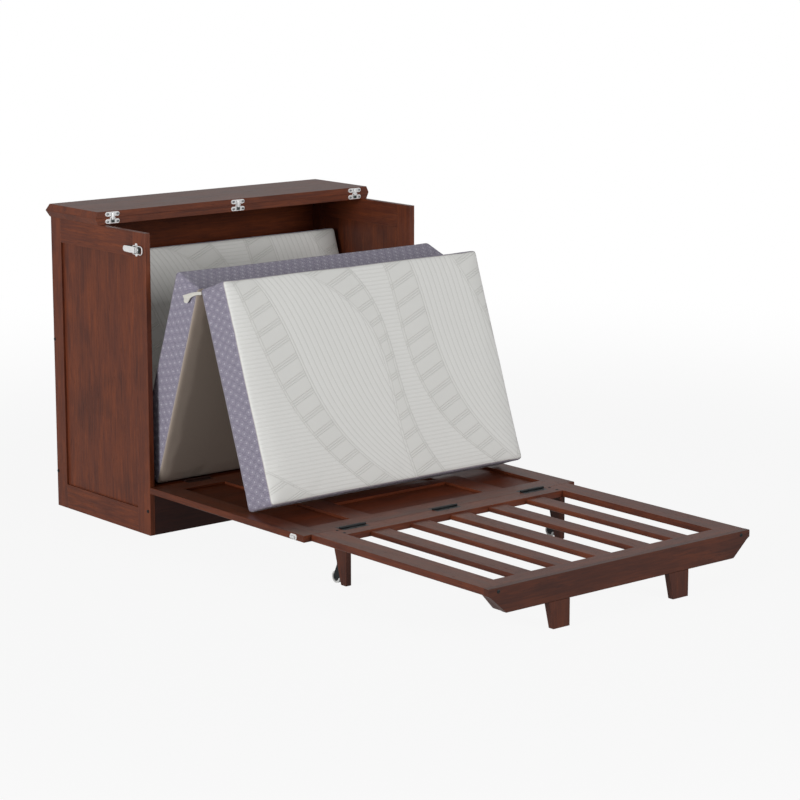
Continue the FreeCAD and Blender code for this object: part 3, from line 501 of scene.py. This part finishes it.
WIRE_RADIUS = 0.001395
LOOP_X, LOOP_Y, LATCH_Z = 0.539, 0.55675, 0.889
BEND, BEND_POINTS = 0.003, 6
CORNERS = [(0.0, 0.0), (0.0, 0.013), (-0.042, 0.0125), (-0.0475, 0.007), (-0.0475, -0.007),
           (-0.042, -0.0125), (0.0, -0.013)]
for side, sign in (("left", -1), ("right", 1)):
    bpy.ops.curve.primitive_bezier_curve_add(location=(0, 0, 0))
    loop = named(f"{side}_latch_wire")
    loop.data.splines.remove(loop.data.splines[0])
    spline = loop.data.splines.new("POLY")
    line = []
    for i, here in enumerate(CORNERS):
        before, after = CORNERS[i - 1], CORNERS[(i + 1) % len(CORNERS)]
        here = Vector(here)
        toward, away = (Vector(before) - here), (Vector(after) - here)
        step = min(BEND, toward.length * 0.45, away.length * 0.45)
        a, b = here + toward.normalized() * step, here + away.normalized() * step
        for k in range(BEND_POINTS):
            t = k / (BEND_POINTS - 1)
            line.append(a * (1 - t) ** 2 + here * 2 * t * (1 - t) + b * t * t)
    spline.points.add(len(line) - 1)
    for point, (dy, dz) in zip(spline.points, line):
        point.co = (sign * LOOP_X, LOOP_Y + dy, LATCH_Z + dz, 1)
    spline.use_cyclic_u = True
    loop.data.dimensions = "3D"
    loop.data.bevel_depth, loop.data.bevel_resolution = WIRE_RADIUS, 3
    bpy.ops.object.select_all(action="DESELECT")
    loop.select_set(True)
    bpy.context.view_layer.objects.active = loop
    bpy.ops.object.convert(target="MESH")
    done(loop, 60)
    loop.data.materials.clear()
    loop.data.materials.append(bright)
    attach(loop, f"{side}_bail")
    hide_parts(f"{side}_latch_bail")

    # the base's two ears end in rounded tabs above and below the lever
    bpy.ops.mesh.primitive_cube_add(size=1, location=(sign * 0.5342, 0.5462, LATCH_Z),
                                    scale=(0.0016, 0.013, 0.040))
    tabs = named(f"{side}_latch_tabs")
    bpy.ops.object.transform_apply(location=True, rotation=False, scale=True)
    bpy.ops.object.mode_set(mode="EDIT")
    bpy.ops.mesh.select_all(action="DESELECT")
    shape = bmesh.from_edit_mesh(tabs.data)
    for edge in shape.edges:
        run = edge.verts[0].co - edge.verts[1].co
        edge.select_set(abs(run.x) > 0.001 and abs(run.y) + abs(run.z) < 1e-5)
    bmesh.update_edit_mesh(tabs.data)
    bpy.ops.mesh.bevel(offset=0.005, segments=5, affect="EDGES")
    done(tabs)
    tabs.data.materials.append(bright)
    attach(tabs, "cabinet")

# ---- casters -------------------------------------------------------------------------------
# A pressed wheel with a bright tread ring and a black hub, held on its axle between the two
# cheeks of the bracket.

WHEEL_X, WHEEL_Y, WHEEL_RADIUS = 0.4214, -0.29125, 0.018
HUB_RADIUS = 0.0118
made, shader = material("caster_wheel_finish")
at = Sock.node("ShaderNodeTexCoord", {"out": "Object"})
x, y, z = at.parts()
y, z = y - WHEEL_Y, z - WHEEL_RADIUS
ring = ((y * y + z * z) ** 0.5).ease(HUB_RADIUS, HUB_RADIUS + 0.0006)
scuff = noise(at, 260.0, 3.0, 0.6)
tread = scuff.ease(0.4, 0.8).tint(srgb(222, 222, 220), srgb(186, 186, 184))
join(ring.tint(srgb(28, 31, 32), tread), shader, "Base Color")
join(ring * 0.35, shader, "Metallic")
join(0.34 + scuff * 0.2, shader, "Roughness")
for side, sign in (("left", -1), ("right", 1)):
    bpy.ops.mesh.primitive_cylinder_add(vertices=56, radius=WHEEL_RADIUS, depth=0.014,
                                        location=(sign * WHEEL_X, WHEEL_Y, WHEEL_RADIUS),
                                        rotation=(0, math.radians(90), 0))
    wheel = named(f"{side}_caster_tread")
    bpy.ops.object.transform_apply(location=True, rotation=True, scale=True)
    pick(wheel, lambda at, normal: abs(normal.x) > 0.9)
    bpy.ops.mesh.inset(thickness=0.0012, depth=0.0004)
    bpy.ops.mesh.inset(thickness=0.0042)
    bpy.ops.mesh.inset(thickness=0.0006, depth=-0.0026)
    bpy.ops.mesh.inset(thickness=0.0055)
    bpy.ops.mesh.inset(thickness=0.0006, depth=0.0020)
    bpy.ops.mesh.inset(thickness=0.0014, depth=0.0)
    done(wheel)
    wheel.data.materials.append(made)
    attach(wheel, f"{side}_wheel")
    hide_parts(f"{side}_caster_wheel")

# ---- mattress ------------------------------------------------------------------------------
# Three foam sections in one sewn cover: a white knit with stitched curves on top, a dotted
# band round the sides and a plain beige underside. It stands folded in a zigzag.

WIDE, LONG, THICK = 0.9906, 0.677, 0.1345
LEFT = -0.4894
INSET = 0.004  # the foam starts this much smaller, because its cover swells
MOST_SWELL = 0.006
bpy.ops.mesh.primitive_cube_add(size=1.0, location=(WIDE / 2, LONG / 2, THICK / 2))
block = named("foam")
block.scale = (WIDE - 2 * INSET, LONG - 2 * INSET, THICK - 2 * INSET)
bpy.ops.object.transform_apply(location=True, rotation=False, scale=True)
bevel = block.modifiers.new("round", "BEVEL")
bevel.width, bevel.segments = 0.006, 2
bpy.ops.object.modifier_apply(modifier="round")
remesh = block.modifiers.new("even", "REMESH")
remesh.mode, remesh.voxel_size = "VOXEL", 0.0095
bpy.ops.object.modifier_apply(modifier="even")
start = [v.co.copy() for v in block.data.vertices]
cloth = block.modifiers.new("cover", "CLOTH")
cloth.settings.use_pressure = True
cloth.settings.uniform_pressure_force = 4.0
cloth.settings.effector_weights.gravity = 0.0
cloth.settings.quality = 5
for step in range(1, 21):
    bpy.context.scene.frame_set(step)
bpy.ops.object.modifier_apply(modifier="cover")
bpy.context.scene.frame_set(1)
for vertex, old in zip(block.data.vertices, start):
    move = vertex.co - old
    if move.length > MOST_SWELL:
        vertex.co = old + move.normalized() * MOST_SWELL

# sewn edges hold the cover in, with small puckers between the stitches; the sides draw in
# between them, and the foam keeps the faces nearly flat
EDGE_BAND, SIDE_BAND, TOP_FROM = 0.030, 0.012, THICK * 0.85
for vertex in block.data.vertices:
    x, y, z = vertex.co
    aside = max(0.0, 1 - min(x, WIDE - x, y, LONG - y) / EDGE_BAND)
    lift = max(0.0, min(1.0, z / THICK))
    draw = 0.0024 * math.sin(math.pi * lift)
    pucker = noise_at(Vector((x * 21.0, y * 21.0, 3.0))) * 0.0011
    if aside > 0:
        for axis, size in ((0, WIDE), (1, LONG)):
            if vertex.co[axis] < SIDE_BAND:
                vertex.co[axis] += draw + pucker
            if vertex.co[axis] > size - SIDE_BAND:
                vertex.co[axis] -= draw + pucker
        if z > TOP_FROM:
            vertex.co.z += pucker * 1.3 * aside - 0.0012 * aside
    if z > TOP_FROM:
        swell = noise_at(Vector((x * 5.0, y * 5.0, 9.0))) * 0.0015
        vertex.co.z = min(vertex.co.z + swell, THICK + 0.0045)
    if z < THICK * 0.15:
        vertex.co.z = max(vertex.co.z, -0.0005)
smooth = block.modifiers.new("smooth", "SUBSURF")
smooth.levels = smooth.render_levels = 1
bpy.ops.object.modifier_apply(modifier="smooth")

# the foam fills its cover, so the finished section is as long and wide as it was cut
for axis, size, over in ((0, WIDE, 0.004), (1, LONG, 0.003), (2, THICK, 0.001)):
    reach = [v.co[axis] for v in block.data.vertices]
    low, high = min(reach), max(reach)
    for vertex in block.data.vertices:
        vertex.co[axis] = (vertex.co[axis] - low) * (size + 2 * over) / (high - low) - over


def line_at(value, place, half):
    """1 on a thin line where the value equals the place, 0 off it."""
    return 1 - abs(value - place).ease(half * 0.4, half)


TOP_SEAM, UNDER_SEAM = THICK - 0.010, 0.0085
DOT_PITCH = (0.045, 0.029)  # across the band, and along it
BARS_PITCH, ROWS_TO_THE_METRE = 0.062, 80.0
SEWN_LINE, QUILTED_LINE = 0.0017, 0.0015  # half widths


def stitched(name):
    """The cover's three cloths, told apart by where a point lies on the section."""
    made, shader = material(name)
    at = Sock.node("ShaderNodeAttribute", {"attribute_name": "cloth_place", "out": "Vector"})
    x, y, z = at.parts()
    # bands of slanting bars flow down the section; ribs run along them, and fine rows of
    # stitches fill the ground between
    v = y / LONG

    def flow(start, slope, bend, turn=0.0, curl=0.0):
        """The place across the section of a curve that runs down it."""
        return start + v * (slope + v * (bend + v * (turn + v * curl)))

    edge_at = [x - flow(0.027, 0.224, -0.276, 0.394), x - flow(0.102, 0.455, -0.740, 0.662),
               x - flow(0.286, 1.340, -2.558, 1.987, -0.494),
               x - flow(0.468, 0.533, -0.996, 0.671), x - flow(0.604, 0.101, -0.342, 0.522),
               x - flow(0.7075, 0.122, -0.268, 0.403), x - flow(0.885, 0.326, -0.096, -0.141),
               x - flow(-0.34, 0.10, 0.10, 0.30)]
    past = [e.ease(-0.0008, 0.0008) for e in edge_at]
    in_bars = (past[0] * (1 - past[1]) + past[2] * (1 - past[3]) + past[4] * (1 - past[5])
               + past[6] + (1 - past[7])).clamp()
    first_ribs, last_ribs = past[1] * (1 - past[2]), past[5] * (1 - past[6])
    in_ribs = (first_ribs + last_ribs).clamp()
    in_rows = (1 - in_bars - in_ribs).clamp()
    edges = line_at(edge_at[0], 0.0, SEWN_LINE)
    for e in edge_at[1:]:
        edges = edges + line_at(e, 0.0, SEWN_LINE)
    for e, away in zip(edge_at, (0.009, 0.009, -0.009, -0.009, 0.009, 0.009, -0.009, 0.009)):
        edges = edges + line_at(e, away, QUILTED_LINE)
    edges = edges.clamp()
    slant = ((y + x * 0.40) / BARS_PITCH) % 1.0
    bars = (line_at(slant, 0.18, 0.030) + line_at(slant, 0.31, 0.030)
            + line_at(slant, 0.44, 0.030))
    rib = (line_at((edge_at[1] / 0.0205) % 1.0, 0.5, 0.10) * first_ribs
           + line_at((edge_at[5] / 0.0195) % 1.0, 0.5, 0.10) * last_ribs)
    rows = line_at((y * ROWS_TO_THE_METRE) % 1.0, 0.5, 0.20)
    sewn = (edges + in_bars * bars * 0.9 + rib * 0.9 + in_rows * rows * 0.42).clamp()
    raised = in_bars * (1 - bars.clamp())
    knit = noise(at, 1100.0, 2.0, 0.6)
    puff = noise(at, 14.0, 2.0, 0.5)
    white = (sewn * 0.40 + raised * 0.14 + knit.ease(0.35, 0.75) * 0.10).clamp().tint(
        srgb(230, 230, 227), srgb(194, 194, 188))
    # lilac band: pale dots in staggered rows, with fine dark loops of thread between them
    along = x + y
    dot = None
    for shift in (0.0, 0.5):
        across = ((z / DOT_PITCH[0] + shift) % 1.0 - 0.5) * DOT_PITCH[0]
        down = ((along / DOT_PITCH[1] + shift) % 1.0 - 0.5) * DOT_PITCH[1]
        far = (across * across * 0.55 + down * down) ** 0.5
        one = 1 - far.ease(0.0014, 0.0038)
        ring = line_at(far, 0.0072, 0.0016)
        dot, halo = (one, ring) if dot is None else (dot + one, halo + ring)
    band = Sock.node("ShaderNodeCombineXYZ", {}, X=along, Y=z, Z=0.0)
    loops = Sock.node("ShaderNodeTexVoronoi", {"voronoi_dimensions": "2D",
                      "feature": "DISTANCE_TO_EDGE", "out": "Distance"}, Vector=band,
                      Scale=215.0, Randomness=1.0)
    thread = noise(at, 700.0, 2.0, 0.7)
    worm = (1 - loops.ease(0.06, 0.20)) * (1 - dot)
    lilac = (thread * 0.7).tint(srgb(172, 168, 182), srgb(134, 127, 146))
    lilac = (worm * 0.85).clamp().tint(lilac, srgb(94, 87, 108))
    lilac = (dot * 0.68 + halo * 0.24).clamp().tint(lilac, srgb(204, 201, 213))
    beige = noise(at, 420.0, 2.0).tint(srgb(180, 165, 152), srgb(166, 152, 140))
    top = z.ease(TOP_SEAM - 0.0005, TOP_SEAM + 0.0005)
    under = 1 - z.ease(UNDER_SEAM - 0.0005, UNDER_SEAM + 0.0005)
    seam = (line_at(z, TOP_SEAM, 0.0014) + line_at(z, UNDER_SEAM, 0.0014)).clamp()
    colour = under.tint(top.tint(lilac, white), beige)
    colour = (seam * 0.4).tint(colour, srgb(190, 182, 176))
    join(colour, shader, "Base Color")
    join(0.80 + sewn * 0.1 + knit * 0.05, shader, "Roughness")
    shader.inputs["Sheen Weight"].default_value = 0.12
    shader.inputs["Specular IOR Level"].default_value = 0.2
    height = (top * (puff * 0.5 - sewn) + knit * 0.12 - seam * 0.6
              + raised * top * 0.35 + (1 - top) * (1 - under) * (dot * 0.25 - worm * 0.2))
    join(Sock.node("ShaderNodeBump", {}, Strength=0.55, Distance=0.0018, Height=height),
         shader, "Normal")
    return made


# each section leans its own way. When the front is raised, the middle and the foot are to be
# pressed flat and inward, because the front passes where they stand; their axis, anchor and
# keep are given for that, but here they only get meshes of their own
cover = stitched("quilted_cover")
upright = Matrix(((1, 0, 0), (0, 0, 1), (0, 1, 0)))
MIDDLE_PRESSED = {"axis": (0, 0.8776, -0.4794), "anchor": (0, 0.72, 0.5), "keep": 0.50}
FOOT_PRESSED = {"axis": (0, 0.9976, -0.0698), "anchor": (0, 0.5437, -0.0380), "keep": 0.08}
for name, node, body, y0, z0, angle, pressed in (
        ("mattress_head_cover", "mattress_head", "head_cushion", 1.00556, 0.787494,
         math.pi - 0.36, None),
        ("mattress_middle_cover", "mattress_middle", "middle_cushion", 0.51285, 0.15515, 0.35,
         MIDDLE_PRESSED),
        ("mattress_foot_cover", "mattress_foot", "foot_cushion", 0.27871, 0.791108,
         math.pi - 0.345, FOOT_PRESSED)):
    mesh = block.data.copy()
    mesh.name = name
    section = bpy.data.objects.new(name, mesh)
    bpy.context.scene.collection.objects.link(section)
    place = mesh.attributes.new("cloth_place", "FLOAT_VECTOR", "POINT")
    place.data.foreach_set("vector", [c for v in mesh.vertices for c in v.co])
    turn = Matrix.Rotation(angle, 3, "X") @ upright
    for vertex in mesh.vertices:
        vertex.co = turn @ vertex.co + Vector((LEFT, y0, z0))
    mesh.flip_normals()
    mesh.shade_smooth()
    mesh.materials.append(cover)
    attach(section, body)
    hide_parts(node)
    if pressed:
        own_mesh(section)
bpy.data.objects.remove(block)

# ---- fold tab ------------------------------------------------------------------------------
# A short strip of the white cover cloth bridges the fold at the left end. It is sewn on by
# the fold, twists once and ends in a loose, flared corner.

bpy.ops.mesh.primitive_grid_add(x_subdivisions=44, y_subdivisions=14, size=1,
                                location=(0, 0, 0))
tab = named("fold_tab_cloth")
TAB_X = -0.4950
upper = ((0.2640, 0.7905), (0.2925, 0.7860), (0.3159, 0.7805), (0.3394, 0.7740),
         (0.3567, 0.7690))
lower = ((0.2640, 0.7805), (0.2897, 0.7765), (0.3121, 0.7665), (0.3265, 0.7505),
         (0.3443, 0.7465))


def along_curve(points, t):
    """A smooth line through five points that are evenly spread from 0 to 1."""
    at = min(t, 0.9999) * 4
    i, f = int(at), at - int(at)
    p = [points[max(0, min(4, i + k))] for k in (-1, 0, 1, 2)]
    return [0.5 * (2 * p[1][k] + (p[2][k] - p[0][k]) * f
                   + (2 * p[0][k] - 5 * p[1][k] + 4 * p[2][k] - p[3][k]) * f * f
                   + (3 * p[1][k] - p[0][k] - 3 * p[2][k] + p[3][k]) * f ** 3) for k in (0, 1)]


for vertex in tab.data.vertices:
    t, s = vertex.co.x + 0.5, vertex.co.y + 0.5
    (y0, z0), (y1, z1) = along_curve(upper, t), along_curve(lower, t)
    fold = 0.0030 * math.sin(s * 5.2 + t * 4.0) * t + 0.0022 * math.sin(t * 3.1)
    vertex.co = Vector((TAB_X - abs(fold) - 0.0035 * s * t, y0 + (y1 - y0) * s,
                        z0 + (z1 - z0) * s))
tab.data.update()
thick = tab.modifiers.new("cloth", "SOLIDIFY")
thick.thickness = 0.0008
bpy.ops.object.modifier_apply(modifier="cloth")
fine = tab.modifiers.new("fine", "SUBSURF")
fine.levels = fine.render_levels = 1
bpy.ops.object.modifier_apply(modifier="fine")
done(tab, 80)
made, shader = material("tab_cloth")
at = Sock.node("ShaderNodeTexCoord", {"out": "Object"})
knit = noise(at, 1300.0, 2.0, 0.6)
join(knit.ease(0.3, 0.7).tint(srgb(226, 224, 216), srgb(204, 201, 192)), shader, "Base Color")
join(0.85 + knit * 0.1, shader, "Roughness")
join(Sock.node("ShaderNodeBump", {}, Strength=0.3, Distance=0.0006, Height=knit), shader,
     "Normal")
tab.data.materials.append(made)
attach(tab, "middle_cushion")
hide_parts("mattress_fold_tab")
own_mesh(tab)

# ---- floor, light and camera ---------------------------------------------------------------
# A pale studio floor that keeps the bed's shadow and goes over into a white surround. Two
# large soft lamps light it, one beside its left end and one in front.

NEAR_WHITE, FLOOR_MIRRORED = 0.91, 0.30
WORLD_MIRRORED, WORLD_LEVEL = 0.50, 0.24
bpy.ops.mesh.primitive_plane_add(size=160.0, location=(0, 0, 0))
floor = named("studio_floor")
made, shader = material("pale_floor")
out = made.node_tree.nodes["Material Output"]
shader.inputs["Base Color"].default_value = (0.45, 0.45, 0.45, 1)
shader.inputs["Roughness"].default_value = 0.9
shader.inputs["Specular IOR Level"].default_value = 0.1
glare = made.node_tree.nodes.new("ShaderNodeEmission")
glare.inputs["Color"].default_value = (1, 1, 1, 1)
x, y, z = Sock.node("ShaderNodeTexCoord", {"out": "Object"}).parts()
away = ((x * x + y * y) ** 0.5).ease(1.6, 5.0)
seen = Sock.node("ShaderNodeLightPath", {"out": "Is Camera Ray"})
glossy = Sock.node("ShaderNodeLightPath", {"out": "Is Glossy Ray"})
share = (seen * (NEAR_WHITE + away * (1 - NEAR_WHITE))).most(glossy * FLOOR_MIRRORED)
blend = made.node_tree.nodes.new("ShaderNodeMixShader")
Sock.tree.links.new(share.socket, blend.inputs[0])
Sock.tree.links.new(shader.outputs[0], blend.inputs[1])
Sock.tree.links.new(glare.outputs[0], blend.inputs[2])
Sock.tree.links.new(blend.outputs[0], out.inputs["Surface"])
floor.data.materials.append(made)
floor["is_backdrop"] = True

world = bpy.data.worlds.new("studio")
bpy.context.scene.world = world
world.use_nodes = True
Sock.tree = world.node_tree
back = world.node_tree.nodes["Background"]
seen = Sock.node("ShaderNodeLightPath", {"out": "Is Camera Ray"})
glossy = Sock.node("ShaderNodeLightPath", {"out": "Is Glossy Ray"})
level = seen.most(glossy * WORLD_MIRRORED).most(WORLD_LEVEL)
Sock.tree.links.new(level.socket, back.inputs["Strength"])
back.inputs["Color"].default_value = (1, 1, 1, 1)


def lamp(name, energy, place):
    """A square soft lamp that looks at the middle of the bed."""
    data = bpy.data.lights.new(name, "AREA")
    data.size = LAMP_SIZE
    data.energy = energy
    made = bpy.data.objects.new(name, data)
    bpy.context.scene.collection.objects.link(made)
    made.location = place
    made.rotation_euler = (Vector(AIM) - Vector(place)).to_track_quat("-Z", "Y").to_euler()


LAMP_SIZE, AIM = 3.0, (0, 0, 0.4)
lamp("key", 395.0, (-7.9, -1.0, 1.7))
lamp("fill", 305.0, (1.6, -7.7, 2.6))

camera = bpy.data.cameras.new("photo_angle")
eye = bpy.data.objects.new("photo_angle", camera)
bpy.context.scene.collection.objects.link(eye)
eye.location = (-4.9144, -5.9726, 2.0064)
yaw, pitch = 0.694, 0.200
look = Vector((math.sin(yaw) * math.cos(pitch), math.cos(yaw) * math.cos(pitch),
               -math.sin(pitch)))
eye.rotation_euler = look.to_track_quat("-Z", "Y").to_euler()
camera.lens = 116.51
camera.sensor_width = 36.0
bpy.context.scene.camera = eye
bpy.context.scene.view_settings.view_transform = "Standard"

low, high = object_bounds()
